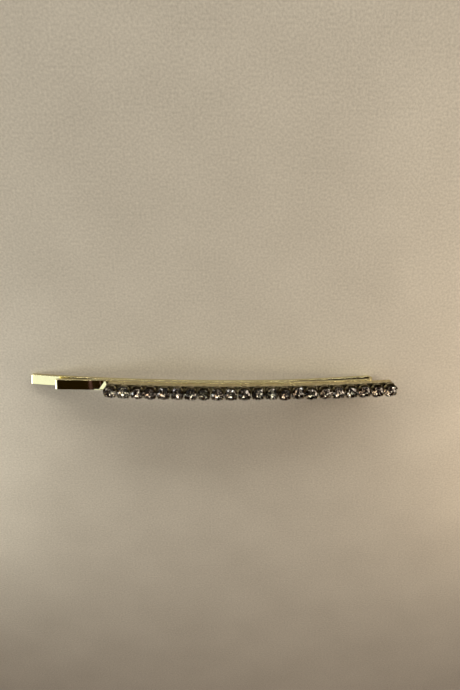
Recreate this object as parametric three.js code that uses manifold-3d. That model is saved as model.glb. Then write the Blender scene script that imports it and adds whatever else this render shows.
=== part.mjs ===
// Hair grip bent from one flat sprung strip, with a row of claw-set stones on its front leg.
// Millimetres, +Z up. The clip stands on its back leg with the stones on top, +X runs from the
// open tips to the bend, and the origin is the middle of the footprint.

import * as THREE from "three";
import { ConvexGeometry } from "three/addons/geometries/ConvexGeometry.js";
import { LoftGeometry } from "three/addons/geometries/LoftGeometry.js";
import { mergeVertices } from "three/addons/utils/BufferGeometryUtils.js";
import Module from "manifold-3d";

// Sprung strip
const STRIP_WIDTH = 2.3;
const STRIP_THICKNESS = 0.6;
const STRIP_EDGE_RADIUS = 0.06;
const STRIP_CORNER_RADIUS = 0.25;
const STRIP_NOSE_LENGTH = 0.45;
const STRIP_NOSE_DEPTH = 0.18;
const ARCH_RADIUS = 320;
const BEND_RADIUS = 0.65;
const BEND_SPLIT = 0.03;
const LEG_GAP = 0.12;
const LOOP_LENGTH = 18;
const BARE_PAD_LENGTH = 10.6;
const PAD_FLARE = THREE.MathUtils.degToRad(3.2);
const FLARE_LENGTH = 1.6;
const BACK_TIP_REACH = 5.6;

// Setting rail
const RAIL_WIDTH = 2.1;
const RAIL_THICKNESS = 1.0;
const RAIL_END_INSET = 0.2;
const RAIL_END_RADIUS = 0.75;
const RAIL_OVERHANG = 4.15;
const TOE_LENGTH = 1.2;
const TOE_HEIGHT = 0.3;
const TOE_TIP_WIDTH = 0.3;
const TOE_TIP_HEIGHT = 0.03;

// Stones
const STONE_COUNT = 22;
const STONE_DIAMETER = 2.6;
const STONE_GAP = 0.1;
const STONE_TABLE_DIAMETER = 1.48;
const STONE_CROWN_HEIGHT = 0.42;
const STONE_GIRDLE_HEIGHT = 0.08;
const STONE_PAVILION_DEPTH = 1.05;
const STONE_STAR_DIAMETER = 1.98;
const STONE_LOWER_DIAMETER = 0.72;

// Claw cups
const CUP_SHEET = 0.12;
const CUP_RIM_INSET = 0.08;
const CUP_BASE_ROUND = 0.2;
const CUP_WALL_HEIGHT = 0.7;
const CULET_CLEARANCE = 0.5;
const CLAW_COUNT = 4;
const CLAW_WIDTH = 0.52;
const CLAW_TIP_WIDTH = 0.3;
const CLAW_REACH = 0.27;
const CLAW_ROOT_HEIGHT = 0.45;

// Clearance between pieces that seat on each other
const FIT = 0.025;

// Facets
const EDGE_STEPS = 1;
const CORNER_STEPS = 4;
const BEND_STEPS = 6;
const FLARE_STEPS = 3;
const ARCH_STEP_LENGTH = 5;
const LOOP_STEP_LENGTH = 2;
const CUP_SIDES = 12;
const GIRDLE_SIDES = 16;
const LEVEL_PASSES = 6;

// Places along the arch, as arc lengths from the bend, with the tips on the negative side
const stoneRadius = STONE_DIAMETER / 2;
const stonePitch = STONE_DIAMETER + STONE_GAP;
const bendOuterRadius = BEND_RADIUS + STRIP_THICKNESS / 2;
const lastStone = bendOuterRadius + RAIL_OVERHANG - stoneRadius;
const firstStone = lastStone - (STONE_COUNT - 1) * stonePitch;
const frontTip = firstStone - stoneRadius - BARE_PAD_LENGTH;
const flareStart = firstStone - stoneRadius - RAIL_END_INSET;
const backTip = frontTip - BACK_TIP_REACH;
const tipLength = Math.max(STRIP_CORNER_RADIUS, STRIP_NOSE_LENGTH);

// Heights above the arch, which is the top face of the front leg
const railBase = FIT;
const cupBase = railBase + RAIL_THICKNESS + FIT;

// Heights above a cup's base
const cupFloor = CUP_SHEET;
const culetHeight = cupFloor + CULET_CLEARANCE;
const girdleLow = culetHeight + STONE_PAVILION_DEPTH;
const girdleHigh = girdleLow + STONE_GIRDLE_HEIGHT;
const tableHeight = girdleHigh + STONE_CROWN_HEIGHT;

// Radii of a cup's wall
const cupOuter = stoneRadius - CUP_RIM_INSET;
const cupInner = cupOuter - CUP_SHEET;
const cupMidWall = (cupOuter + cupInner) / 2;

const wasm = await Module();
wasm.setup();

const goldPlate = new THREE.MeshStandardMaterial({ color: 0xd9c27c, roughness: 0.16, metalness: 1 });
const settingGold = new THREE.MeshStandardMaterial({ color: 0xb59a5e, roughness: 0.3, metalness: 1 });
const crystal = new THREE.MeshStandardMaterial({ color: 0xb9bcc0, roughness: 0.05, metalness: 0 });

// A closed three.js geometry as a solid that can be joined to others.
function toSolid(geometry) {
  const bare = new THREE.BufferGeometry();
  bare.setAttribute("position", geometry.attributes.position);
  bare.setIndex(geometry.index);
  const merged = mergeVertices(bare);
  const mesh = new wasm.Mesh({
    numProp: 3,
    vertProperties: merged.attributes.position.array,
    triVerts: new Uint32Array(merged.index.array),
  });
  return new wasm.Manifold(mesh);
}

function toGeometry(solid) {
  const mesh = solid.getMesh();
  const geometry = new THREE.BufferGeometry();
  geometry.setAttribute("position", new THREE.BufferAttribute(mesh.vertProperties, 3));
  geometry.setIndex(new THREE.BufferAttribute(mesh.triVerts, 1));
  return geometry;
}

// A point at an arc length along the arch, lifted off it along its normal, as X and Z.
function archPoint(along, lift) {
  const angle = along / ARCH_RADIUS;
  const radius = ARCH_RADIUS + lift;
  return new THREE.Vector2(radius * Math.sin(angle), radius * Math.cos(angle) - ARCH_RADIUS);
}

// How far a rounded end or corner draws in, at a distance from the end.
function endInset(distance, radius) {
  const inside = THREE.MathUtils.clamp(radius - distance, 0, radius);
  return radius - Math.sqrt(radius * radius - inside * inside);
}

// Places from one end of a stretch to the other, no further apart than the step, without the first.
function spaced(from, to, step) {
  const count = Math.ceil(Math.abs(to - from) / step);
  return Array.from({ length: count }, (_, i) => from + ((to - from) * (i + 1)) / count);
}

// Places over a rounded end, closer together where it turns most.
function roundedEnd(from, radius) {
  const turn = Math.PI / 2 / CORNER_STEPS;
  return Array.from({ length: CORNER_STEPS + 1 }, (_, i) => from + radius * (1 - Math.cos(i * turn)));
}

// One section of a flat bar with rounded edges, square to its line in the XZ plane.
function barSection({ point, tangent }, halfWidth, halfThickness) {
  const radius = Math.min(STRIP_EDGE_RADIUS, halfThickness / 2, halfWidth / 2);
  const x = halfWidth - radius;
  const y = halfThickness - radius;
  const outline = new THREE.Shape();
  outline.absarc(x, y, radius, 0, Math.PI / 2);
  outline.absarc(-x, y, radius, Math.PI / 2, Math.PI);
  outline.absarc(-x, -y, radius, Math.PI, 1.5 * Math.PI);
  outline.absarc(x, -y, radius, 1.5 * Math.PI, 2 * Math.PI);
  return outline.getPoints(EDGE_STEPS).map(
    (p) => new THREE.Vector3(point.x - tangent.y * p.y, p.x, point.y + tangent.x * p.y),
  );
}

// Where a bar's line is and which way it runs, at a place along the arch.
function onLine(liftAt, along) {
  const step = 0.01;
  const ahead = archPoint(along + step, liftAt(along + step));
  const behind = archPoint(along - step, liftAt(along - step));
  return { point: archPoint(along, liftAt(along)), tangent: ahead.sub(behind).normalize() };
}

function loft(sections) {
  return new LoftGeometry(sections, { capStart: true, capEnd: true });
}

// The front leg's line: along the arch, then straight and flared away from the back leg.
function frontLift(along) {
  const past = Math.max(flareStart - along, 0);
  const straight = (past * past) / (2 * ARCH_RADIUS);
  const turning = Math.min(past, FLARE_LENGTH);
  const flare = PAD_FLARE * (past - turning + (turning * turning) / (2 * FLARE_LENGTH));
  return straight + flare - STRIP_THICKNESS / 2;
}

// The back leg's line: close under the front leg, and bowed away from it to the width of the bend.
function backLift(along) {
  const closed = STRIP_THICKNESS + LEG_GAP;
  const bow = THREE.MathUtils.smoothstep(along, -LOOP_LENGTH, 0);
  return -STRIP_THICKNESS / 2 - closed - bow * (2 * BEND_RADIUS - closed);
}

// A quarter of the bend, from the leg on one side, up for the front leg or down for the back leg.
function bendQuarter(side) {
  const splitAngle = Math.asin(BEND_SPLIT / 2 / BEND_RADIUS);
  const turns = spaced(0, Math.PI / 2 - splitAngle, Math.PI / 2 / BEND_STEPS);
  const centre = new THREE.Vector2(0, -STRIP_THICKNESS / 2 - BEND_RADIUS);
  return turns.map((turn) => {
    const out = new THREE.Vector2(Math.sin(turn), side * Math.cos(turn));
    const tangent = new THREE.Vector2(Math.cos(turn), -side * Math.sin(turn));
    return { point: out.multiplyScalar(BEND_RADIUS).add(centre), tangent };
  });
}

// One leg of the strip, from its tip, rolled thin at the nose, to the middle of the bend.
function legGeometry(liftAt, tip, places, side) {
  const stations = [...roundedEnd(tip, tipLength), ...places].map((along) => {
    const halfWidth = STRIP_WIDTH / 2 - endInset(along - tip, STRIP_CORNER_RADIUS);
    const thinned = (endInset(along - tip, STRIP_NOSE_LENGTH) * STRIP_NOSE_DEPTH) / STRIP_NOSE_LENGTH;
    return barSection(onLine(liftAt, along), halfWidth, STRIP_THICKNESS / 2 - thinned);
  });
  const bend = bendQuarter(side).map((s) => barSection(s, STRIP_WIDTH / 2, STRIP_THICKNESS / 2));
  return loft([...stations, ...bend]);
}

function frontLegGeometry() {
  const padEnd = flareStart - FLARE_LENGTH;
  const flare = spaced(padEnd, flareStart, FLARE_LENGTH / FLARE_STEPS);
  const places = [padEnd, ...flare, ...spaced(flareStart, 0, ARCH_STEP_LENGTH)];
  return legGeometry(frontLift, frontTip, places, 1);
}

function backLegGeometry() {
  const tipEnd = backTip + tipLength;
  const places = [
    backTip + BACK_TIP_REACH,
    ...spaced(backTip + BACK_TIP_REACH, -LOOP_LENGTH, ARCH_STEP_LENGTH),
    ...spaced(-LOOP_LENGTH, 0, LOOP_STEP_LENGTH),
  ].filter((along) => along > tipEnd);
  return legGeometry(backLift, backTip, places, -1);
}

// The solder that runs out of the rail's first end over the pad, further along one edge than the other.
function solderToe(railStart) {
  const thin = railStart - TOE_LENGTH;
  const thick = railStart + RAIL_END_RADIUS;
  const edge = RAIL_WIDTH / 2;
  const corners = [
    [thin, -edge, TOE_TIP_HEIGHT],
    [thin, TOE_TIP_WIDTH - edge, TOE_TIP_HEIGHT],
    [thick, -edge, TOE_HEIGHT],
    [thick, edge, TOE_HEIGHT],
  ];
  const points = corners.flatMap(([along, across, height]) => {
    const under = frontLift(along) + STRIP_THICKNESS / 2 + FIT;
    return [under, under + height].map((lift) => {
      const place = archPoint(along, lift);
      return new THREE.Vector3(place.x, across, place.y);
    });
  });
  return toSolid(new ConvexGeometry(points));
}

// The rail, round at both ends under the first and last cups.
function railGeometry() {
  const start = firstStone - stoneRadius + RAIL_END_INSET;
  const end = lastStone + stoneRadius - RAIL_END_INSET;
  const straight = spaced(start + RAIL_END_RADIUS, end - RAIL_END_RADIUS, ARCH_STEP_LENGTH);
  const endPlaces = roundedEnd(-end, RAIL_END_RADIUS).map((place) => -place).reverse();
  const places = [...roundedEnd(start, RAIL_END_RADIUS), ...straight, ...endPlaces.slice(1)];
  const lift = railBase + RAIL_THICKNESS / 2;
  const bar = loft(places.map((along) => {
    const fromEnd = Math.min(along - start, end - along);
    const halfWidth = RAIL_WIDTH / 2 - endInset(fromEnd, RAIL_END_RADIUS);
    return barSection(onLine(() => lift, along), halfWidth, RAIL_THICKNESS / 2);
  }));
  return toGeometry(toSolid(bar).add(solderToe(start)));
}

// The height of the underside of a seated stone at a radius.
function pavilionHeight(radius) {
  return girdleLow - ((stoneRadius - radius) * STONE_PAVILION_DEPTH) / stoneRadius;
}

// The height of the top of a seated stone at a radius outside its table.
function crownHeight(radius) {
  const run = stoneRadius - STONE_TABLE_DIAMETER / 2;
  return girdleHigh + ((stoneRadius - radius) * STONE_CROWN_HEIGHT) / run;
}

// The cup's bowl: a shallow drawn pan, open between its claws to the stone's underside.
function cupBowl() {
  const profile = [
    [0, 0],
    [cupOuter - CUP_BASE_ROUND, 0],
    [cupOuter, CUP_BASE_ROUND],
    [cupOuter, CUP_WALL_HEIGHT],
    [cupInner, CUP_WALL_HEIGHT],
    [cupInner, cupFloor + CUP_BASE_ROUND],
    [cupInner - CUP_BASE_ROUND, cupFloor],
    [0, cupFloor],
  ].map(([radius, height]) => new THREE.Vector2(radius, height));
  return toSolid(new THREE.LatheGeometry(profile, CUP_SIDES).rotateX(Math.PI / 2));
}

// One claw: a post on the cup's wall that goes round the girdle and folds over the crown.
function claw() {
  const inner = stoneRadius + FIT;
  const outer = inner + CUP_SHEET;
  const tip = stoneRadius - CLAW_REACH;
  const underTip = crownHeight(tip * Math.cos(Math.PI / GIRDLE_SIDES)) + FIT;
  const side = [
    [cupMidWall, CLAW_ROOT_HEIGHT],
    [cupOuter - FIT, CLAW_ROOT_HEIGHT],
    [outer, girdleLow],
    [outer, girdleHigh + CUP_SHEET / 2],
    [tip + CUP_SHEET, underTip + CUP_SHEET],
    [tip, underTip + CUP_SHEET / 2],
    [tip, underTip],
    [inner, girdleHigh + FIT],
    [inner, girdleLow - FIT],
    [cupMidWall, pavilionHeight(cupMidWall) - 2 * FIT],
  ];
  const plan = [
    [tip - FIT, -CLAW_TIP_WIDTH / 2],
    [stoneRadius, -CLAW_WIDTH / 2],
    [outer + FIT, -CLAW_WIDTH / 2],
    [outer + FIT, CLAW_WIDTH / 2],
    [stoneRadius, CLAW_WIDTH / 2],
    [tip - FIT, CLAW_TIP_WIDTH / 2],
  ];
  const tongue = extruded(side, CLAW_WIDTH + 2 * FIT).rotateX(Math.PI / 2);
  return toSolid(tongue).intersect(toSolid(extruded(plan, 3 * tableHeight)));
}

// An outline in the XY plane, drawn out to either side of it.
function extruded(outline, depth) {
  const shape = new THREE.Shape(outline.map(([x, y]) => new THREE.Vector2(x, y)));
  return new THREE.ExtrudeGeometry(shape, { depth, bevelEnabled: false }).translate(0, 0, -depth / 2);
}

function cupGeometry() {
  const step = 360 / CLAW_COUNT;
  const oneClaw = claw();
  let cup = cupBowl();
  for (let i = 0; i < CLAW_COUNT; i++) {
    cup = cup.add(oneClaw.rotate([0, 0, (i + 0.5) * step]));
  }
  return toGeometry(cup);
}

function ring(radius, height, sides, phase) {
  const turn = (2 * Math.PI) / sides;
  return Array.from({ length: sides }, (_, i) => {
    const angle = (i + phase) * turn;
    return new THREE.Vector3(radius * Math.cos(angle), radius * Math.sin(angle), height);
  });
}

// A brilliant-cut stone: eight-sided table, stars, kites and halves, thin girdle and pointed pavilion.
// The points between two kites, and between two pavilion mains, lie where the planes of both meet.
function stoneGeometry() {
  const mains = GIRDLE_SIDES / 2;
  const between = Math.cos(Math.PI / mains);
  const starRadius = STONE_STAR_DIAMETER / 2;
  const lowerRadius = STONE_LOWER_DIAMETER / 2;
  return new ConvexGeometry([
    ...ring(STONE_TABLE_DIAMETER / 2, tableHeight, mains, 0),
    ...ring(starRadius, crownHeight(starRadius * between), mains, 0.5),
    ...ring(stoneRadius, girdleHigh, GIRDLE_SIDES, 0),
    ...ring(stoneRadius, girdleLow, GIRDLE_SIDES, 0),
    ...ring(lowerRadius, pavilionHeight(lowerRadius * between), mains, 0.5),
    new THREE.Vector3(0, 0, culetHeight),
  ]);
}

function named(name, geometry, material) {
  const mesh = new THREE.Mesh(geometry, material);
  mesh.name = name;
  return mesh;
}

// A piece of the row, standing on the rail square to the arch.
function seated(mesh, along) {
  const place = archPoint(along, cupBase);
  mesh.position.set(place.x, 0, place.y);
  mesh.rotation.y = along / ARCH_RADIUS;
  return mesh;
}

// The turn about Y that stands a shape level on its lowest points to either side of the middle.
function levelTurn(geometry, middle) {
  const corners = geometry.attributes.position;
  const across = new THREE.Vector3(0, 1, 0);
  let turn = 0;
  for (let pass = 0; pass < LEVEL_PASSES; pass++) {
    const feet = [new THREE.Vector3(0, 0, Infinity), new THREE.Vector3(0, 0, Infinity)];
    for (let i = 0; i < corners.count; i++) {
      const corner = new THREE.Vector3().fromBufferAttribute(corners, i);
      const foot = feet[corner.x < middle ? 0 : 1];
      corner.applyAxisAngle(across, turn);
      if (corner.z < foot.z) {
        foot.copy(corner);
      }
    }
    turn += Math.atan2(feet[1].z - feet[0].z, feet[1].x - feet[0].x);
  }
  return turn;
}

const backLeg = named("back_leg", backLegGeometry(), goldPlate);
const clip = new THREE.Group();
clip.add(backLeg);
clip.add(named("front_leg", frontLegGeometry(), goldPlate));
clip.add(named("setting_rail", railGeometry(), settingGold));
const cup = cupGeometry();
const stone = stoneGeometry();
for (let i = 0; i < STONE_COUNT; i++) {
  const number = String(i + 1).padStart(2, "0");
  const along = firstStone + i * stonePitch;
  clip.add(seated(named(`cup_${number}`, cup, settingGold), along));
  clip.add(seated(named(`stone_${number}`, stone, crystal), along));
}
clip.rotation.y = levelTurn(backLeg.geometry, backTip / 2);

const hairClip = new THREE.Group();
hairClip.add(clip);
const box = new THREE.Box3().setFromObject(hairClip, true);
const middle = box.getCenter(new THREE.Vector3());
clip.position.set(-middle.x, -middle.y, -box.min.z);

export default hairClip;
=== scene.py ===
import math

import bmesh
import bpy
from mathutils import Matrix, Vector


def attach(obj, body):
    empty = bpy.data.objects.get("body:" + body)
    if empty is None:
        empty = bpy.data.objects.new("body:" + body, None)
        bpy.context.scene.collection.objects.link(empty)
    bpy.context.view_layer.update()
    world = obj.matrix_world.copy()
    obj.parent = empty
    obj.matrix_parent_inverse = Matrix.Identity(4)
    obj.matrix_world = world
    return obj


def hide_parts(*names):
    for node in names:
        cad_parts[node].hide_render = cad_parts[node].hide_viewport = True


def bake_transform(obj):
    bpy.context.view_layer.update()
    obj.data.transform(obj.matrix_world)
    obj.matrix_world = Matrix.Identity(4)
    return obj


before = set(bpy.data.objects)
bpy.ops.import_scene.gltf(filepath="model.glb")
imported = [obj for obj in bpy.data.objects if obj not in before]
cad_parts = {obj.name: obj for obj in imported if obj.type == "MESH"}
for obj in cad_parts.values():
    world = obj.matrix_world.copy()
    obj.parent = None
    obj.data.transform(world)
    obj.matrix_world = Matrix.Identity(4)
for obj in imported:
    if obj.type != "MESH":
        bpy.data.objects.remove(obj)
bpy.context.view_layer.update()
mm = 0.001
print("frame loaded:", len(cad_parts), "nodes")

# The arch is the front leg's top face. Places on it are arc lengths from the bend, the tips negative, in mm.
arch = {
    "radius": 320.0,
    "tilt": math.radians(5.792085),  # stands the clip on its back leg
    "bendEnd": (32.381487, 1.890299),  # X and Z of the arch at the bend
}
row = {
    "count": 22,
    "pitch": 2.7,
    "stoneRadius": 1.3,
    "last": 3.8,  # the last stone is past the bend
    "cupLift": 1.05,  # cup base above the arch
    "railInset": 0.2,  # the rail ends this far inside the outer stones
    "turn": math.radians(180),  # how far the stones differ in turn, lean and place across the row
    "lean": math.radians(6),
    "stray": 0.08,
    "seed": 7,
}
firstStone = row["last"] - (row["count"] - 1) * row["pitch"]
rowStart = firstStone - row["stoneRadius"]


def archPoint(along, lift):
    angle = along / arch["radius"]
    radius = arch["radius"] + lift
    return Vector((radius * math.sin(angle), radius * math.cos(angle) - arch["radius"]))


bendPlace = (arch["bendEnd"][0] * mm, 0.0, arch["bendEnd"][1] * mm)
archToRow = Matrix.Translation(bendPlace) @ Matrix.Rotation(arch["tilt"], 4, "Y")


# Materials

def linear(code):
    def channel(value):
        return value / 12.92 if value <= 0.04045 else ((value + 0.055) / 1.055) ** 2.4

    return tuple(channel(int(code[i : i + 2], 16) / 255) for i in (0, 2, 4)) + (1.0,)


def socketOf(sockets, key):
    if isinstance(key, int):
        return sockets[key]
    return next(s for s in sockets if key in (s.identifier, s.name))


def addNode(tree, kind, inputs=None, out=None, **settings):  # gives the socket out, or else the node
    node = tree.nodes.new(kind)
    for key, value in settings.items():
        setattr(node, key, value)
    for key, value in (inputs or {}).items():
        socket = socketOf(node.inputs, key)
        if isinstance(value, bpy.types.NodeSocket):
            tree.links.new(value, socket)
        else:
            socket.default_value = value
    return node if out is None else socketOf(node.outputs, out)


def newMaterial(name):
    material = bpy.data.materials.new(name)
    material.use_nodes = True
    tree = material.node_tree
    tree.nodes.clear()
    shader = addNode(tree, "ShaderNodeBsdfPrincipled")
    addNode(tree, "ShaderNodeOutputMaterial", {"Surface": shader.outputs[0]})
    return material, tree, shader


def perMetre(size):
    return 1 / (size * mm)  # noise scale for a feature of that size in mm


# Gold-plated spring steel, rolled and polished: a pale yellow mirror with faint lines along the strip,
# rougher where the legs face each other, and darkened brown there with painted shade.
def goldPlatedSteel():
    look = {
        "gold": "dcd6ae", "deep": "cfc59a", "bare": "2e2009", "shadePower": 2.5,
        "rollLine": 0.07, "lineStretch": 0.03, "lineDepth": 0.01, "lineBump": 0.03, "cloud": 2.5,
        "smooth": 0.02, "worn": 0.06, "dull": 0.5,
    }
    material, tree, shader = newMaterial("gold_plated_steel")
    place = addNode(tree, "ShaderNodeTexCoord", out="Object")
    along = addNode(tree, "ShaderNodeMapping", {"Vector": place, "Scale": (look["lineStretch"], 1, 1)}, out=0)
    lines = addNode(
        tree, "ShaderNodeTexNoise",
        {"Vector": along, "Scale": perMetre(look["rollLine"]), "Detail": 3.0}, out="Fac",
    )
    cloud = addNode(
        tree, "ShaderNodeTexNoise",
        {"Vector": place, "Scale": perMetre(look["cloud"]), "Detail": 4.0}, out="Fac",
    )
    inside = addNode(tree, "ShaderNodeAttribute", out="Fac", attribute_name="inside")
    plate = addNode(
        tree, "ShaderNodeMix",
        {"Factor_Float": cloud, "A_Color": linear(look["gold"]), "B_Color": linear(look["deep"])},
        out="Result_Color", data_type="RGBA",
    )
    # painted shade: the faces towards the other leg are darkened to brown
    gapShaded = addNode(tree, "ShaderNodeMath", {0: inside, 1: look["shadePower"]}, out=0, operation="POWER")
    tone = addNode(
        tree, "ShaderNodeMix", {"Factor_Float": gapShaded, "A_Color": plate, "B_Color": linear(look["bare"])},
        out="Result_Color", data_type="RGBA",
    )
    polish = addNode(
        tree, "ShaderNodeMapRange", {"Value": lines, "To Min": look["smooth"], "To Max": look["worn"]}, out=0
    )
    rough = addNode(
        tree, "ShaderNodeMapRange", {"Value": inside, "To Min": polish, "To Max": look["dull"]}, out=0
    )
    bump = addNode(
        tree, "ShaderNodeBump",
        {"Height": lines, "Strength": look["lineBump"], "Distance": look["lineDepth"] * mm}, out=0,
    )
    tree.links.new(tone, shader.inputs["Base Color"])
    tree.links.new(rough, shader.inputs["Roughness"])
    tree.links.new(bump, shader.inputs["Normal"])
    shader.inputs["Metallic"].default_value = 1.0
    return material


# Gold-plated brass stampings: deeper and duller than the strip, with a fine grain from the plating bath,
# and darkened nearly black on the cups' walls and claws with tarnish and painted shade, except for a painted
# highlight band on the claws.
def goldPlatedBrass():
    look = {
        "gold": "c8bd97", "dull": "a69a78", "tarnishAndShade": "1f180e", "grain": 0.16, "grainDepth": 0.02,
        "grainBump": 0.12, "stain": 1.1, "stainFrom": 0.15, "stainTo": 0.42, "smooth": 0.18, "matte": 0.42,
    }
    material, tree, shader = newMaterial("gold_plated_brass")
    place = addNode(tree, "ShaderNodeTexCoord", out="Object")
    grain = addNode(
        tree, "ShaderNodeTexNoise",
        {"Vector": place, "Scale": perMetre(look["grain"]), "Detail": 2.0}, out="Fac",
    )
    stain = addNode(
        tree, "ShaderNodeTexNoise",
        {"Vector": place, "Scale": perMetre(look["stain"]), "Detail": 5.0}, out="Fac",
    )
    mixed = addNode(tree, "ShaderNodeMath", {0: grain, 1: stain}, out=0, operation="MULTIPLY")
    spread = addNode(
        tree, "ShaderNodeMapRange",
        {"Value": mixed, "From Min": look["stainFrom"], "From Max": look["stainTo"]}, out=0,
    )
    plate = addNode(
        tree, "ShaderNodeMix",
        {"Factor_Float": spread, "A_Color": linear(look["gold"]), "B_Color": linear(look["dull"])},
        out="Result_Color", data_type="RGBA",
    )
    # darkening mask: tarnish and painted shade, with a painted highlight band left on the claws
    tarnishAndShade = addNode(tree, "ShaderNodeAttribute", out="Fac", attribute_name="tarnishAndShade")
    tone = addNode(
        tree, "ShaderNodeMix",
        {"Factor_Float": tarnishAndShade, "A_Color": plate, "B_Color": linear(look["tarnishAndShade"])},
        out="Result_Color", data_type="RGBA",
    )
    rough = addNode(
        tree, "ShaderNodeMapRange", {"Value": stain, "To Min": look["smooth"], "To Max": look["matte"]}, out=0
    )
    bump = addNode(
        tree, "ShaderNodeBump",
        {"Height": grain, "Strength": look["grainBump"], "Distance": look["grainDepth"] * mm}, out=0,
    )
    tree.links.new(tone, shader.inputs["Base Color"])
    tree.links.new(rough, shader.inputs["Roughness"])
    tree.links.new(bump, shader.inputs["Normal"])
    shader.inputs["Metallic"].default_value = 1.0
    return material


# Pressed lead crystal, fire polished: clear with a smoky cast that differs a little from stone to stone.
def leadCrystal():
    look = {"smoke": "9e9a90", "rose": "a0978e", "roughness": 0.0, "ior": 1.56}
    material, tree, shader = newMaterial("lead_crystal")
    tint = addNode(tree, "ShaderNodeAttribute", out="Fac", attribute_name="stoneTint")
    tone = addNode(
        tree, "ShaderNodeMix",
        {"Factor_Float": tint, "A_Color": linear(look["smoke"]), "B_Color": linear(look["rose"])},
        out="Result_Color", data_type="RGBA",
    )
    tree.links.new(tone, shader.inputs["Base Color"])
    shader.inputs["Roughness"].default_value = look["roughness"]
    shader.inputs["IOR"].default_value = look["ior"]
    shader.inputs["Transmission Weight"].default_value = 1.0
    return material


# Silver foil painted on the back of each stone: a crinkled mirror under the glass, rose or green in places.
def silverFoil():
    look = {
        "silver": "eae9e5", "green": "d6decd", "rose": "e8ddd8", "patch": 0.9,
        "crinkle": 1.0, "crinkleDepth": 0.12, "crinkleBump": 0.5, "smooth": 0.01, "dull": 0.06,
    }
    material, tree, shader = newMaterial("silver_foil")
    place = addNode(tree, "ShaderNodeTexCoord", out="Object")
    tint = addNode(tree, "ShaderNodeAttribute", out="Fac", attribute_name="stoneTint")
    patch = addNode(
        tree, "ShaderNodeTexNoise",
        {"Vector": place, "Scale": perMetre(look["patch"]), "Detail": 3.0}, out="Fac",
    )
    cast = addNode(
        tree, "ShaderNodeMix",
        {"Factor_Float": tint, "A_Color": linear(look["green"]), "B_Color": linear(look["rose"])},
        out="Result_Color", data_type="RGBA",
    )
    tone = addNode(
        tree, "ShaderNodeMix", {"Factor_Float": patch, "A_Color": linear(look["silver"]), "B_Color": cast},
        out="Result_Color", data_type="RGBA",
    )
    rough = addNode(
        tree, "ShaderNodeMapRange", {"Value": patch, "To Min": look["smooth"], "To Max": look["dull"]}, out=0
    )
    crinkle = addNode(
        tree, "ShaderNodeTexNoise",
        {"Vector": place, "Scale": perMetre(look["crinkle"]), "Detail": 1.0}, out="Fac",
    )
    bump = addNode(
        tree, "ShaderNodeBump",
        {"Height": crinkle, "Strength": look["crinkleBump"], "Distance": look["crinkleDepth"] * mm}, out=0,
    )
    tree.links.new(tone, shader.inputs["Base Color"])
    tree.links.new(rough, shader.inputs["Roughness"])
    tree.links.new(bump, shader.inputs["Normal"])
    shader.inputs["Metallic"].default_value = 1.0
    return material


# Coated table top with a fine leather-like grain: pale warm beige and nearly matte.
def grainedTableTop():
    look = {
        "pale": "c9c3b4", "shade": "ada799", "shadeFrom": 1.2, "shadeTo": 2.8, "cloud": 14.0,
        "grain": 0.42, "grainShare": 3.0, "grainDepth": 0.1, "grainBump": 0.3, "roughness": 0.55,
    }
    material, tree, shader = newMaterial("grained_table_top")
    place = addNode(tree, "ShaderNodeTexCoord", out="Object")
    grain = addNode(
        tree, "ShaderNodeTexNoise",
        {"Vector": place, "Scale": perMetre(look["grain"]), "Detail": 3.0}, out="Fac",
    )
    cloud = addNode(
        tree, "ShaderNodeTexNoise",
        {"Vector": place, "Scale": perMetre(look["cloud"]), "Detail": 2.0}, out="Fac",
    )
    mixed = addNode(
        tree, "ShaderNodeMath", {0: grain, 1: look["grainShare"], 2: cloud}, out=0, operation="MULTIPLY_ADD"
    )
    spread = addNode(
        tree, "ShaderNodeMapRange",
        {"Value": mixed, "From Min": look["shadeFrom"], "From Max": look["shadeTo"]}, out=0,
    )
    tone = addNode(
        tree, "ShaderNodeMix",
        {"Factor_Float": spread, "A_Color": linear(look["pale"]), "B_Color": linear(look["shade"])},
        out="Result_Color", data_type="RGBA",
    )
    bump = addNode(
        tree, "ShaderNodeBump",
        {"Height": grain, "Strength": look["grainBump"], "Distance": look["grainDepth"] * mm}, out=0,
    )
    tree.links.new(tone, shader.inputs["Base Color"])
    tree.links.new(bump, shader.inputs["Normal"])
    shader.inputs["Roughness"].default_value = look["roughness"]
    return material


stripGold = goldPlatedSteel()
settingGold = goldPlatedBrass()
crystal = leadCrystal()
foil = silverFoil()
tableTop = grainedTableTop()
print("materials made")


# The sprung strip

strip = {
    "width": 2.3,
    "thickness": 0.6,
    "edgeRadius": 0.02,
    "backEdge": 0.04,  # the longer leg is rubbed rounder
    "edgeSteps": 3,
    "cornerRadius": 0.25,
    "noseLength": 0.45,  # the tips are rolled thin
    "frontNose": 0.18,
    "backNose": 0.05,
    "cornerSteps": 10,
    "bendRadius": 0.65,
    "bendSteps": 40,
    "bendLead": 0.8,  # straight stretch at both ends of the bend piece
    "leadSteps": 3,
    "turnLow": -1.3,  # between these heights the bend turns from one leg to the other
    "turnHigh": -0.6,
    "legGap": 0.12,
    "loopLength": 20.0,
    "padLength": 10.6,
    "padFlare": math.radians(3.2),
    "flareLength": 1.6,
    "tipReach": 5.6,
    "step": 0.45,
    "support": 0.02,  # keeps the flats flat beside the rounded edges
    "slack": 1e-6,  # a point this close to a face lies on it
    "dullShadeShare": 0.35,  # the inner faces first grow this rough and this dark with painted shade, over the next length from the shorter tip
    "dullShadeStart": 0.8,
    "dullShadeRun": 30.0,  # and wholly rough and painted dark over this length
    "backSlant": 0.4,  # how far the tips' cuts are from square
    "frontSlant": 0.26,
    "slantRun": 2.5,
}
frontTip = rowStart - strip["padLength"]
flareStart = rowStart - row["railInset"]
backTip = frontTip - strip["tipReach"]


def endInset(distance, radius):
    inside = min(max(radius - distance, 0), radius)
    return radius - math.sqrt(radius * radius - inside * inside)


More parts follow.
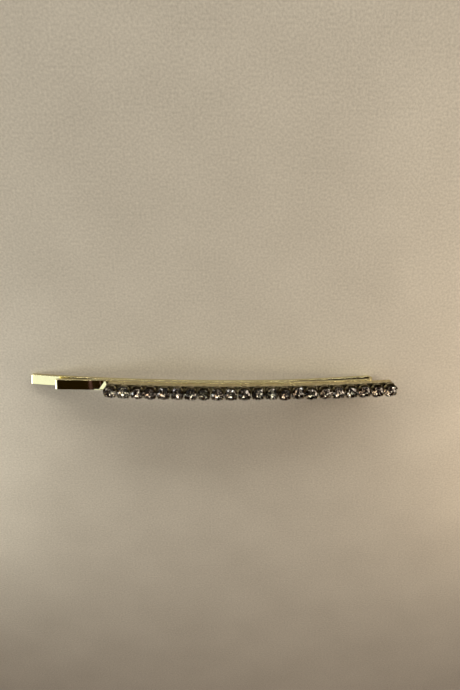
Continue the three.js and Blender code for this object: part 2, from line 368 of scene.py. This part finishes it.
def spaced(start, end, step):
    count = max(1, math.ceil(abs(end - start) / step))
    return [start + (end - start) * (i + 1) / count for i in range(count)]


def roundedEnd(start, radius, steps):
    return [start + radius * (1 - math.cos(i * math.pi / 2 / steps)) for i in range(steps + 1)]


def frontLift(along):
    past = max(flareStart - along, 0)
    turning = min(past, strip["flareLength"])
    flare = strip["padFlare"] * (past - turning + turning * turning / (2 * strip["flareLength"]))
    return past * past / (2 * arch["radius"]) + flare - strip["thickness"] / 2


def backLift(along):
    closed = strip["thickness"] + strip["legGap"]
    t = min(max(1 + along / strip["loopLength"], 0), 1)
    bow = t * t * (3 - 2 * t)
    return -strip["thickness"] / 2 - closed - bow * (2 * strip["bendRadius"] - closed)


def onLine(liftAt, along):
    near = 0.01  # places this far off on both sides give the direction
    ahead = archPoint(along + near, liftAt(along + near))
    behind = archPoint(along - near, liftAt(along - near))
    return archPoint(along, liftAt(along)), (ahead - behind).normalized()


def barRing(point, tangent, halfWidth, halfThickness, inner=0, dullShaded=1, edge=strip["edgeRadius"]):
    radius = min(edge, halfThickness / 2, halfWidth / 2)
    x, y = halfWidth - radius, halfThickness - radius
    beside = min(strip["support"], y / 2)
    outline = []
    for cx, cy, start in ((x, y, 0), (-x, y, 90), (-x, -y, 180), (x, -y, 270)):
        arc = [math.radians(start + 90 * i / strip["edgeSteps"]) for i in range(strip["edgeSteps"] + 1)]
        first, last = (Vector((math.cos(a), math.sin(a))) for a in (arc[0], arc[-1]))
        centre = Vector((cx, cy))
        outline.append(centre + first * radius + Vector((first.y, -first.x)) * beside)
        outline += [centre + Vector((math.cos(a), math.sin(a))) * radius for a in arc]
        outline.append(centre + last * radius + Vector((-last.y, last.x)) * beside)
    return [
        (
            archToRow @ (Vector((point.x - tangent.y * p.y, p.x, point.y + tangent.x * p.y)) * mm),
            dullShaded * (p.y * inner > halfThickness - strip["slack"]),  # on the face towards the other leg
        )
        for p in outline
    ]


def loft(name, rings, *materials):
    made = bmesh.new()
    inside = made.verts.layers.float.new("inside")
    loops = []
    for ring in rings:
        loop = [made.verts.new(p) for p, _ in ring]
        for vert, (_, mark) in zip(loop, ring):
            vert[inside] = mark
        loops.append(loop)
    for a, b in zip(loops, loops[1:]):
        for i in range(len(a)):
            made.faces.new((a[i - 1], a[i], b[i], b[i - 1])).smooth = True
    for loop in (loops[0], loops[-1]):
        for edge in made.faces.new(loop).edges:
            edge.smooth = False
    bmesh.ops.recalc_face_normals(made, faces=made.faces)
    return meshObject(name, made, *materials)


def meshObject(name, made, *materials):
    mesh = bpy.data.meshes.new(name)
    made.to_mesh(mesh)
    made.free()
    for material in materials:
        mesh.materials.append(material)
    piece = bpy.data.objects.new(name, mesh)
    bpy.context.scene.collection.objects.link(piece)
    return piece


def legRings(liftAt, tip, inner, slant, nose, edge):
    places = roundedEnd(tip, strip["noseLength"], strip["cornerSteps"])
    places += spaced(places[-1], -strip["bendLead"], strip["step"])
    rings = []
    for along in places:
        halfWidth = strip["width"] / 2 - endInset(along - tip, strip["cornerRadius"])
        thinned = endInset(along - tip, strip["noseLength"]) * nose / strip["noseLength"]
        past = max(along - frontTip, 0)  # the longer tip is bright on both sides
        # this mask roughens the inner faces and darkens them with painted shade
        first, later = min(past / strip["dullShadeStart"], 1), min(past / strip["dullShadeRun"], 1)
        dullShaded = strip["dullShadeShare"] * first + (1 - strip["dullShadeShare"]) * later
        point, tangent = onLine(liftAt, along)
        ring = barRing(point, tangent, halfWidth, strip["thickness"] / 2 - thinned, inner, dullShaded, edge)
        run = archToRow.to_3x3() @ Vector((tangent.x, 0, tangent.y))
        offCut = slant * max(1 - (along - tip) / strip["slantRun"], 0) / strip["width"]
        rings.append([(p + run * (offCut * (p.y - strip["width"] / 2 * mm)), mark) for p, mark in ring])
    return rings


def bendRings():
    section = strip["width"] / 2, strip["thickness"] / 2, 1  # the last is the inner face's side
    lead = [-strip["bendLead"] * (1 - i / strip["leadSteps"]) for i in range(strip["leadSteps"])]
    rings = [barRing(*onLine(backLift, along), *section) for along in lead]
    centre = Vector((0, -strip["thickness"] / 2 - strip["bendRadius"]))
    for i in range(strip["bendSteps"] + 1):
        turn = math.pi * i / strip["bendSteps"]
        out = Vector((math.sin(turn), -math.cos(turn)))
        tangent = Vector((math.cos(turn), math.sin(turn)))
        rings.append(barRing(centre + out * strip["bendRadius"], tangent, *section))
    for along in reversed(lead):
        point, tangent = onLine(frontLift, along)
        rings.append(barRing(point, -tangent, *section))
    return rings


backRings = legRings(backLift, backTip, 1, strip["backSlant"], strip["backNose"], strip["backEdge"])
frontRings = legRings(frontLift, frontTip, -1, strip["frontSlant"], strip["frontNose"], strip["edgeRadius"])
backStrip = loft("back_strip", backRings, stripGold)
frontStrip = loft("front_strip", frontRings, stripGold)
springBend = loft("spring_bend", bendRings(), stripGold)
print("strip made")


# The setting rail

rail = {
    "width": 2.1,
    "thickness": 1.0,
    "base": 0.025,
    "endRadius": 0.75,
    "toeTail": 2.9,  # solder that runs out over the pad, furthest along one edge
    "toeLength": 1.9,
    "toeShort": 0.55,
    "toeRoot": 0.3,
    "toeTipWidth": 0.15,
    "toeTipHeight": 0.03,
    "toeSlope": 0.18,
}


def railRings():
    start, end = rowStart + row["railInset"], row["last"] + row["stoneRadius"] - row["railInset"]
    ends = [p - start for p in roundedEnd(start, rail["endRadius"], strip["cornerSteps"])]
    places = [start + e for e in ends] + spaced(start + ends[-1], end - ends[-1], strip["step"])
    places += [end - e for e in reversed(ends[:-1])]
    lift = rail["base"] + rail["thickness"] / 2
    rings = []
    for along in places:
        halfWidth = rail["width"] / 2 - endInset(min(along - start, end - along), rail["endRadius"])
        rings.append(barRing(*onLine(lambda _: lift, along), halfWidth, rail["thickness"] / 2))
    return rings


def solderToe():
    start, edge = rowStart + row["railInset"], rail["width"] / 2
    tail, thin, short = start - rail["toeTail"], start - rail["toeLength"], start - rail["toeShort"]
    root, near = start + rail["toeRoot"], rail["toeTipWidth"] - edge
    wedge = (  # place along and across, and where the slope starts on that line
        (thin, -edge, thin), (thin, near, thin), (short, edge, short),
        (short + rail["toeTipWidth"], edge, short), (root, -edge, thin),
    )
    strand = ((tail, -edge, tail), (tail, near, tail), (short, -edge, thin), (short, near, thin))
    made = bmesh.new()
    for corners in (wedge, strand):
        heap = []
        for along, across, foot in corners:
            under = frontLift(along) + strip["thickness"] / 2 + rail["base"]
            for lift in (under, under + rail["toeTipHeight"] + rail["toeSlope"] * (along - foot)):
                place = archPoint(along, lift)
                heap.append(made.verts.new(archToRow @ (Vector((place.x, across, place.y)) * mm)))
        bmesh.ops.convex_hull(made, input=heap)
    bmesh.ops.recalc_face_normals(made, faces=made.faces)
    return meshObject("solder_toe", made, stripGold)


settingRail = loft("setting_rail_bar", railRings(), settingGold)
toe = solderToe()
print("rail made")


# The stones and their claw cups, as one shape each in mm above the cup's base

stone = {
    "table": 0.74,
    "starReach": 0.99,
    "culet": 0.75,
    "girdleLow": 1.67,
    "girdleHigh": 1.75,
    "top": 2.17,
    "lowerHalf": 0.36,
    "facets": 8,
}
cup = {
    "outer": 1.22,
    "sheet": 0.12,
    "baseRound": 0.2,
    "baseSteps": 4,
    "wallHeight": 0.7,
    "rimRound": 0.03,
    "sides": 32,
    "claws": 4,
    "clawWidth": 0.8,
    "clawSwing": 9.0,  # degrees nearer the row's line than a square stand
    "clawTipWidth": 0.3,
    "clawReach": 0.27,
    "clawSides": 10,
    "clawSquare": (0.7, 0.8),  # below 1 squares the claw's section, across and through
    "bright": {1: (0.92, 0.1), -1: (1.9, 0.0)},  # height and reach of the claws' painted highlight band, on the lit +Y side and on the shaded -Y side
    "fade": 0.07,
    "bowlTarnishAndShade": 0.75,
}


def onRing(radius, height, degrees):
    angle = math.radians(degrees)
    return Vector((radius * math.cos(angle), radius * math.sin(angle), height)) * mm


def crownHeight(radius):
    slope = (stone["top"] - stone["girdleHigh"]) / (row["stoneRadius"] - stone["table"])
    return stone["girdleHigh"] + (row["stoneRadius"] - radius) * slope


def brilliantStone():
    girdle, sides = row["stoneRadius"], stone["facets"]
    between = 180 / sides  # half a facet's turn, in degrees
    half = math.cos(math.radians(between))
    starHeight = crownHeight(stone["starReach"] * half)
    backDepth = stone["girdleLow"] - stone["culet"]
    lowerHeight = stone["culet"] + backDepth * stone["lowerHalf"] * half / girdle
    made = bmesh.new()
    foiled = made.faces.layers.bool.new("foil")

    def points(radius, height, start, count):
        return [made.verts.new(onRing(radius, height, start + i * 360 / count)) for i in range(count)]

    table = points(stone["table"], stone["top"], 0, sides)
    stars = points(stone["starReach"], starHeight, between, sides)
    high = points(girdle, stone["girdleHigh"], 0, 2 * sides)
    low = points(girdle, stone["girdleLow"], 0, 2 * sides)
    lower = points(stone["lowerHalf"], lowerHeight, between, sides)
    culet = made.verts.new((0, 0, stone["culet"] * mm))
    made.faces.new(table)
    for i in range(sides):
        j = (i + 1) % sides
        made.faces.new((table[i], stars[i], table[j]))
        made.faces.new((table[i], stars[i - 1], high[2 * i], stars[i]))
        made.faces.new((stars[i], high[2 * i], high[2 * i + 1]))
        made.faces.new((stars[i], high[2 * i + 1], high[2 * j]))
        back = [
            made.faces.new((culet, lower[i], low[2 * i], lower[i - 1])),
            made.faces.new((lower[i], low[2 * i + 1], low[2 * i])),
            made.faces.new((lower[i], low[2 * j], low[2 * i + 1])),
        ]
        for face in back:
            face[foiled] = True
    for i in range(2 * sides):
        made.faces.new((high[i - 1], high[i], low[i], low[i - 1]))
    bmesh.ops.recalc_face_normals(made, faces=made.faces)
    return meshObject("stone_shape", made, crystal, foil)


def addBowl(made):
    outer, inner, turn = cup["outer"], cup["outer"] - cup["sheet"], cup["baseRound"]
    top, rim = cup["wallHeight"], cup["rimRound"]
    arc = [math.radians(90 * i / cup["baseSteps"]) for i in range(cup["baseSteps"] + 1)]
    corner = [(turn * math.sin(a) - turn, turn - turn * math.cos(a)) for a in arc]
    profile = [(outer + out, up) for out, up in corner]
    profile += [(outer, top - rim), (outer - rim, top), (inner + rim, top), (inner, top - rim)]
    profile += [(inner + out, cup["sheet"] + up) for out, up in reversed(corner)]
    turns = [i * 360 / cup["sides"] for i in range(cup["sides"])]
    loops = [[made.verts.new(onRing(r, z, degrees)) for degrees in turns] for r, z in profile]
    for a, b in zip(loops, loops[1:]):
        for i in range(cup["sides"]):
            made.faces.new((a[i - 1], a[i], b[i], b[i - 1])).smooth = True
    made.faces.new(loops[0])
    made.faces.new(loops[-1])


def addClaw(made, degrees):
    wide, thick, edge = cup["clawWidth"] / 2, cup["sheet"] / 2, row["stoneRadius"]
    tip = edge - cup["clawReach"]
    tipWide = cup["clawTipWidth"] / 2
    stations = (  # radius, height, half width and half thickness, from the cup's base to the claw's tip
        (cup["outer"] - thick * 2, 0.04, wide * 0.7, thick * 0.6),
        (cup["outer"] + 0.02, 0.1, wide * 0.8, thick),
        (cup["outer"] + 0.06, 0.22, wide * 0.85, thick),
        (cup["outer"] + 0.03, 0.36, wide * 0.85, thick),
        (cup["outer"] - thick * 0.5, cup["wallHeight"] - 0.05, wide, thick),
        (cup["outer"] + 0.03, 0.76, wide * 0.85, thick),
        (cup["outer"] + 0.1, 0.86, wide * 0.85, thick),
        (cup["outer"] + 0.1, 0.94, wide * 0.85, thick),
        (cup["outer"] + 0.03, 1.04, wide * 0.82, thick),
        (edge - 0.01, stone["girdleLow"] - 0.35, wide * 0.8, thick),
        (edge + 0.06, stone["girdleLow"] - 0.08, wide * 0.9, thick),
        (edge + 0.09, stone["girdleHigh"] - 0.02, wide * 0.9, thick),
        (edge + 0.05, stone["girdleHigh"] + 0.09, wide * 0.88, thick),
        (edge - 0.07, crownHeight(edge - 0.07) + 0.085, wide * 0.8, thick),
        (tip + 0.1, crownHeight(tip + 0.1) + 0.085, tipWide * 1.1, thick),
        (tip + 0.02, crownHeight(tip + 0.02) + 0.075, tipWide * 0.7, thick * 0.8),
        (tip - 0.01, crownHeight(tip - 0.01) + 0.06, tipWide * 0.25, thick * 0.35),
    )
    line = [Vector((r, z)) for r, z, _, _ in stations]
    turn = Matrix.Rotation(math.radians(degrees), 3, "Z")
    loops = []
    for k, (_, _, w, t) in enumerate(stations):
        run = (line[min(k + 1, len(line) - 1)] - line[max(k - 1, 0)]).normalized()
        out = Vector((run.y, -run.x))
        loop = []
        for i in range(cup["clawSides"]):
            a = 2 * math.pi * i / cup["clawSides"]
            across = math.copysign(abs(math.cos(a)) ** cup["clawSquare"][0], math.cos(a)) * w
            lift = math.copysign(abs(math.sin(a)) ** cup["clawSquare"][1], math.sin(a)) * t
            spot = line[k] + out * lift
            loop.append(made.verts.new(turn @ (Vector((spot.x, across, spot.y)) * mm)))
        loops.append(loop)
    for a, b in zip(loops, loops[1:]):
        for i in range(cup["clawSides"]):
            made.faces.new((a[i - 1], a[i], b[i], b[i - 1])).smooth = True
    made.faces.new(loops[0])
    made.faces.new(loops[-1])


def clawCup():
    made = bmesh.new()
    tarnishAndShade = made.verts.layers.float.new("tarnishAndShade")
    addBowl(made)
    # the bowls are darkened with tarnish and painted shade
    for vert in made.verts:
        vert[tarnishAndShade] = cup["bowlTarnishAndShade"]
    bowlCount = len(made.verts)
    for i in range(cup["claws"]):
        side = 1 if i % 2 == 0 else -1
        addClaw(made, (i + 0.5) * 360 / cup["claws"] - side * cup["clawSwing"])
    made.verts.ensure_lookup_table()
    # a painted highlight band on each claw, low on the lit side and high on the shaded side; elsewhere
    # tarnish and painted shade
    for vert in made.verts[bowlCount:]:
        height, reach = cup["bright"][1 if vert.co.y > 0 else -1]
        vert[tarnishAndShade] = min(max((abs(vert.co.z / mm - height) - reach) / cup["fade"], 0), 1)
    bmesh.ops.recalc_face_normals(made, faces=made.faces)
    return meshObject("cup_shape", made, settingGold)


# One tree seats a shape along the arch: each copy square to it, with its own turn and small lean.
def seatedRowTree():
    tree = bpy.data.node_groups.new("seated_row", "GeometryNodeTree")
    tree.is_modifier = True
    kinds = {
        "Shape": "NodeSocketObject", "Count": "NodeSocketInt", "First": "NodeSocketFloat",
        "Pitch": "NodeSocketFloat", "Arch Radius": "NodeSocketFloat", "Lift": "NodeSocketFloat",
        "Turn": "NodeSocketFloat", "Lean": "NodeSocketFloat", "Stray": "NodeSocketFloat",
        "Tilt": "NodeSocketVector", "Place": "NodeSocketVector", "Seed": "NodeSocketInt",
        "Finish": "NodeSocketMaterial", "Back Finish": "NodeSocketMaterial",
    }
    for label, kind in kinds.items():
        tree.interface.new_socket(label, in_out="INPUT", socket_type=kind)
    tree.interface.new_socket("Geometry", in_out="OUTPUT", socket_type="NodeSocketGeometry")
    given = addNode(tree, "NodeGroupInput").outputs
    line = addNode(tree, "GeometryNodeMeshLine", {"Count": given["Count"]}, out=0)
    index = addNode(tree, "GeometryNodeInputIndex", out=0)
    along = addNode(
        tree, "ShaderNodeMath", {0: index, 1: given["Pitch"], 2: given["First"]},
        out=0, operation="MULTIPLY_ADD",
    )
    angle = addNode(tree, "ShaderNodeMath", {0: along, 1: given["Arch Radius"]}, out=0, operation="DIVIDE")
    radius = addNode(
        tree, "ShaderNodeMath", {0: given["Arch Radius"], 1: given["Lift"]}, out=0, operation="ADD"
    )
    sine = addNode(tree, "ShaderNodeMath", {0: angle}, out=0, operation="SINE")
    cosine = addNode(tree, "ShaderNodeMath", {0: angle}, out=0, operation="COSINE")
    x = addNode(tree, "ShaderNodeMath", {0: radius, 1: sine}, out=0, operation="MULTIPLY")
    high = addNode(tree, "ShaderNodeMath", {0: radius, 1: cosine}, out=0, operation="MULTIPLY")
    z = addNode(tree, "ShaderNodeMath", {0: high, 1: given["Arch Radius"]}, out=0, operation="SUBTRACT")

    def drawn(lowest, highest, draw):  # one random number for each copy
        seed = addNode(tree, "ShaderNodeMath", {0: given["Seed"], 1: float(draw)}, out=0, operation="ADD")
        return addNode(
            tree, "FunctionNodeRandomValue", {"Min_001": lowest, "Max_001": highest, "Seed": seed},
            out="Value_001", data_type="FLOAT",
        )

    def scattered(reach, draw):  # from minus to plus its reach, for each copy
        lowest = addNode(tree, "ShaderNodeMath", {0: reach, 1: -1.0}, out=0, operation="MULTIPLY")
        return drawn(lowest, reach, draw)

    lean = addNode(tree, "ShaderNodeMath", {0: scattered(given["Lean"], 1), 1: angle}, out=0, operation="ADD")
    stand = addNode(tree, "ShaderNodeCombineXYZ", {"X": scattered(given["Lean"], 2), "Y": lean}, out=0)
    turn = addNode(tree, "ShaderNodeCombineXYZ", {"Z": scattered(given["Turn"], 3)}, out=0)
    spot = addNode(tree, "ShaderNodeCombineXYZ", {"X": x, "Y": scattered(given["Stray"], 5), "Z": z}, out=0)
    seats = addNode(tree, "GeometryNodeSetPosition", {"Geometry": line, "Position": spot}, out=0)
    shape = addNode(tree, "GeometryNodeObjectInfo", {"Object": given["Shape"]}, out="Geometry")
    copies = addNode(
        tree, "GeometryNodeInstanceOnPoints", {"Points": seats, "Instance": shape, "Rotation": stand}, out=0
    )
    turned = addNode(tree, "GeometryNodeRotateInstances", {"Instances": copies, "Rotation": turn}, out=0)
    tinted = addNode(
        tree, "GeometryNodeStoreNamedAttribute",
        {"Geometry": turned, "Name": "stoneTint", "Value": drawn(0.0, 1.0, 4)}, out=0,
        data_type="FLOAT", domain="INSTANCE",
    )
    stood = addNode(
        tree, "GeometryNodeTransform",
        {"Geometry": tinted, "Translation": given["Place"], "Rotation": given["Tilt"]}, out=0,
    )
    solid = addNode(tree, "GeometryNodeRealizeInstances", {"Geometry": stood}, out=0)
    faced = addNode(tree, "GeometryNodeSetMaterial", {"Geometry": solid, "Material": given["Finish"]}, out=0)
    isBack = addNode(
        tree, "GeometryNodeInputNamedAttribute", {"Name": "foil"}, out="Attribute", data_type="BOOLEAN"
    )
    backed = addNode(
        tree, "GeometryNodeSetMaterial",
        {"Geometry": faced, "Selection": isBack, "Material": given["Back Finish"]}, out=0,
    )
    addNode(tree, "NodeGroupOutput", {"Geometry": backed})
    return tree


def seatRow(name, tree, shape, turn, lean, finish, backFinish):
    maker = bpy.data.objects.new(name + "_maker", bpy.data.meshes.new(name + "_maker"))
    bpy.context.scene.collection.objects.link(maker)
    modifier = maker.modifiers.new("seated_row", "NODES")
    modifier.node_group = tree
    values = {
        "Shape": shape, "Count": row["count"], "First": firstStone * mm, "Pitch": row["pitch"] * mm,
        "Arch Radius": arch["radius"] * mm, "Lift": row["cupLift"] * mm, "Turn": turn, "Lean": lean,
        "Stray": row["stray"] * mm, "Tilt": (0.0, arch["tilt"], 0.0), "Place": bendPlace,
        "Seed": row["seed"], "Finish": finish, "Back Finish": backFinish,
    }
    for item in tree.interface.items_tree:
        if item.in_out == "INPUT":
            modifier[item.identifier] = values[item.name]
    mesh = bpy.data.meshes.new_from_object(maker.evaluated_get(bpy.context.evaluated_depsgraph_get()))
    mesh.name = name
    piece = bpy.data.objects.new(name, mesh)
    bpy.context.scene.collection.objects.link(piece)
    for used in (maker, shape):
        bpy.data.objects.remove(used)
    return piece


seatedRow = seatedRowTree()
stones = seatRow("cut_stones", seatedRow, brilliantStone(), row["turn"], row["lean"], crystal, foil)
cups = seatRow("claw_cups", seatedRow, clawCup(), 0.0, 0.0, settingGold, settingGold)
print("row made:", len(stones.data.polygons), "stone faces,", len(cups.data.polygons), "cup faces")


# What carries each piece

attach(backStrip, "back")
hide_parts("back_leg")
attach(frontStrip, "front")
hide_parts("front_leg")
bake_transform(springBend)
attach(settingRail, "front")
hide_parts("setting_rail")
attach(toe, "front")
numbers = [f"{i + 1:02d}" for i in range(row["count"])]
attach(cups, "front")
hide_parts(*["cup_" + n for n in numbers])
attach(stones, "front")
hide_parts(*["stone_" + n for n in numbers])


# Table, light and camera

stage = {
    "tableSize": 3.0,
    "tableDrop": 0.01,  # keeps the table just clear of the clip, in mm
    "worldTone": "fffaf2",
    "worldLevel": 0.08,
}
# Place and size in metres, mean radiance, colour, panes across and up, glazed share of a pane's side
softboxes = {
    "left_window": ((-0.27, -0.19, 0.30), (0.20, 0.10), 1.47, "f6fffe", (1, 1), 1.0),
    "left_wall": ((-0.33, 0.30, 0.20), (0.40, 0.40), 1.25, "fffaf2", (3, 3), 0.3),
    "right_wall": ((0.33, 0.30, 0.20), (0.40, 0.40), 1.30, "ffecd6", (3, 3), 0.3),
    "far_window": ((0.10, 0.50, 0.12), (0.78, 0.07), 22.0, "fffaf2", (1, 1), 1.0),
    "far_panes": ((0.10, 0.50, 0.32), (0.78, 0.138), 0.85, "fffaf2", (7, 1), 0.2),
    "roof_panes": ((0.015, -0.042, 0.118), (0.12, 0.07), 0.46, "fffaf2", (6, 3), 0.2),
    "right_bulb": ((0.18, -0.20, 0.296), (0.05, 0.05), 7.0, "fff4e4", (1, 1), 1.0),
    "left_bulb": ((-0.22, 0.14, 0.26), (0.04, 0.04), 14.0, "fffaf2", (1, 1), 1.0),
    "right_lamp": ((0.14, 0.04, 0.055), (0.06, 0.06), 5.0, "ffe6cc", (1, 1), 1.0),
    "left_lamp": ((-0.14, 0.04, 0.055), (0.06, 0.06), 1.2, "fffdf6", (1, 1), 1.0),
    "right_edge": ((0.105, -0.015, 0.035), (0.03, 0.03), 10.8, "ffe6cc", (1, 1), 1.0),
    "left_edge": ((-0.095, -0.03, 0.035), (0.03, 0.03), 9.6, "fffdf6", (1, 1), 1.0),
}
# Middle of the card and its size in metres, colour, and the point it faces
cards = {
    "overhead_flag": ((0.02, 0.012, 0.128), (0.072, 0.150), "0b0a0a", (0, 0, 0)),
    "near_flag": ((0.004, -0.085, 0.150), (0.222, 0.160), "281e09", (0, 0, 0)),
    "warm_edge": ((-0.0666, -0.080, 0.130), (0.0011, 0.030), "b48ea6", (-0.0666, -0.080, 0)),
    "low_flag": ((0.0, -0.125, 0.06), (0.50, 0.13), "4a3026", (0, 0, 0)),
    "window_sill": ((0.10, 0.43, 0.05), (1.00, 0.18), "6e655a", (0.10, 0.43, 0)),
}
lens = {
    "focalPixels": 550.0,
    "imageSize": (460, 690),
    "sensor": 36.0,
    "elevation": math.radians(62.4),
    "roll": math.radians(0.35),
    "depth": 113.0,
    "nearest": 1.0,
    "anchor": Vector((0, 0, 3.2)),  # this point of the clip, in mm, shows at that pixel
    "anchorPixel": (212.3, 387.2),
}


def facing(place, point):
    spot = Vector(place)
    turn = (Vector(point) - spot).to_track_quat("-Z", "Y")
    return Matrix.Translation(spot) @ turn.to_matrix().to_4x4()


def layTable():
    made = bmesh.new()
    bmesh.ops.create_grid(made, x_segments=1, y_segments=1, size=stage["tableSize"] / 2)
    table = meshObject("table_top", made, tableTop)
    table.location.z = -stage["tableDrop"] * mm


def hangLights():
    for name, (place, size, radiance, tone, (across, up), share) in softboxes.items():
        wide, high = size[0] / across, size[1] / up
        for i in range(across * up):
            lamp = bpy.data.lights.new(name, "AREA")
            lamp.shape = "RECTANGLE"
            lamp.size, lamp.size_y = wide * share, high * share
            lamp.energy = radiance * math.pi * wide * high
            lamp.color = linear(tone)[:3]
            box = bpy.data.objects.new(name, lamp)
            offset = ((i % across - (across - 1) / 2) * wide, (i // across - (up - 1) / 2) * high, 0)
            box.matrix_world = facing(place, (0, 0, 0)) @ Matrix.Translation(offset)
            box.visible_camera = False
            bpy.context.scene.collection.objects.link(box)
    world = bpy.data.worlds.new("room")
    world.use_nodes = True
    world.node_tree.nodes.clear()
    glow = addNode(
        world.node_tree, "ShaderNodeBackground",
        {"Color": linear(stage["worldTone"]), "Strength": stage["worldLevel"]}, out=0,
    )
    addNode(world.node_tree, "ShaderNodeOutputWorld", {"Surface": glow})
    bpy.context.scene.world = world


def hangCards():
    for name, (place, size, tone, point) in cards.items():
        material, _, shader = newMaterial(name + "_cloth")
        shader.inputs["Base Color"].default_value = linear(tone)
        shader.inputs["Roughness"].default_value = 1.0
        shader.inputs["Specular IOR Level"].default_value = 0.0
        made = bmesh.new()
        bmesh.ops.create_grid(made, x_segments=1, y_segments=1, size=0.5)
        card = meshObject(name, made, material)
        card.matrix_world = facing(place, point) @ Matrix.Diagonal((*size, 1, 1))
        card.visible_camera = False


def setCamera():
    cosine, sine = math.cos(lens["elevation"]), math.sin(lens["elevation"])
    back, up, right = Vector((0, cosine, sine)), Vector((0, sine, -cosine)), Vector((1, 0, 0))
    turn = Matrix.Rotation(lens["roll"], 3, back)
    up, right = turn @ up, turn @ right
    perPixel = lens["depth"] / lens["focalPixels"]
    width, height = lens["imageSize"]
    across = (lens["anchorPixel"][0] - width / 2) * perPixel
    down = (lens["anchorPixel"][1] - height / 2) * perPixel
    spot = lens["anchor"] + back * lens["depth"] - right * across + up * down
    camera = bpy.data.objects.new("photo_camera", bpy.data.cameras.new("photo_camera"))
    camera.data.sensor_width = lens["sensor"]
    camera.data.lens = lens["focalPixels"] / max(width, height) * lens["sensor"]
    camera.data.clip_start = lens["nearest"] * mm
    turned = Matrix((right, up, back)).transposed().to_4x4()
    camera.matrix_world = Matrix.Translation(spot * mm) @ turned
    bpy.context.scene.collection.objects.link(camera)
    bpy.context.scene.camera = camera


layTable()
hangLights()
hangCards()
setCamera()
bpy.context.scene.view_settings.view_transform = "Standard"
print("stage set")
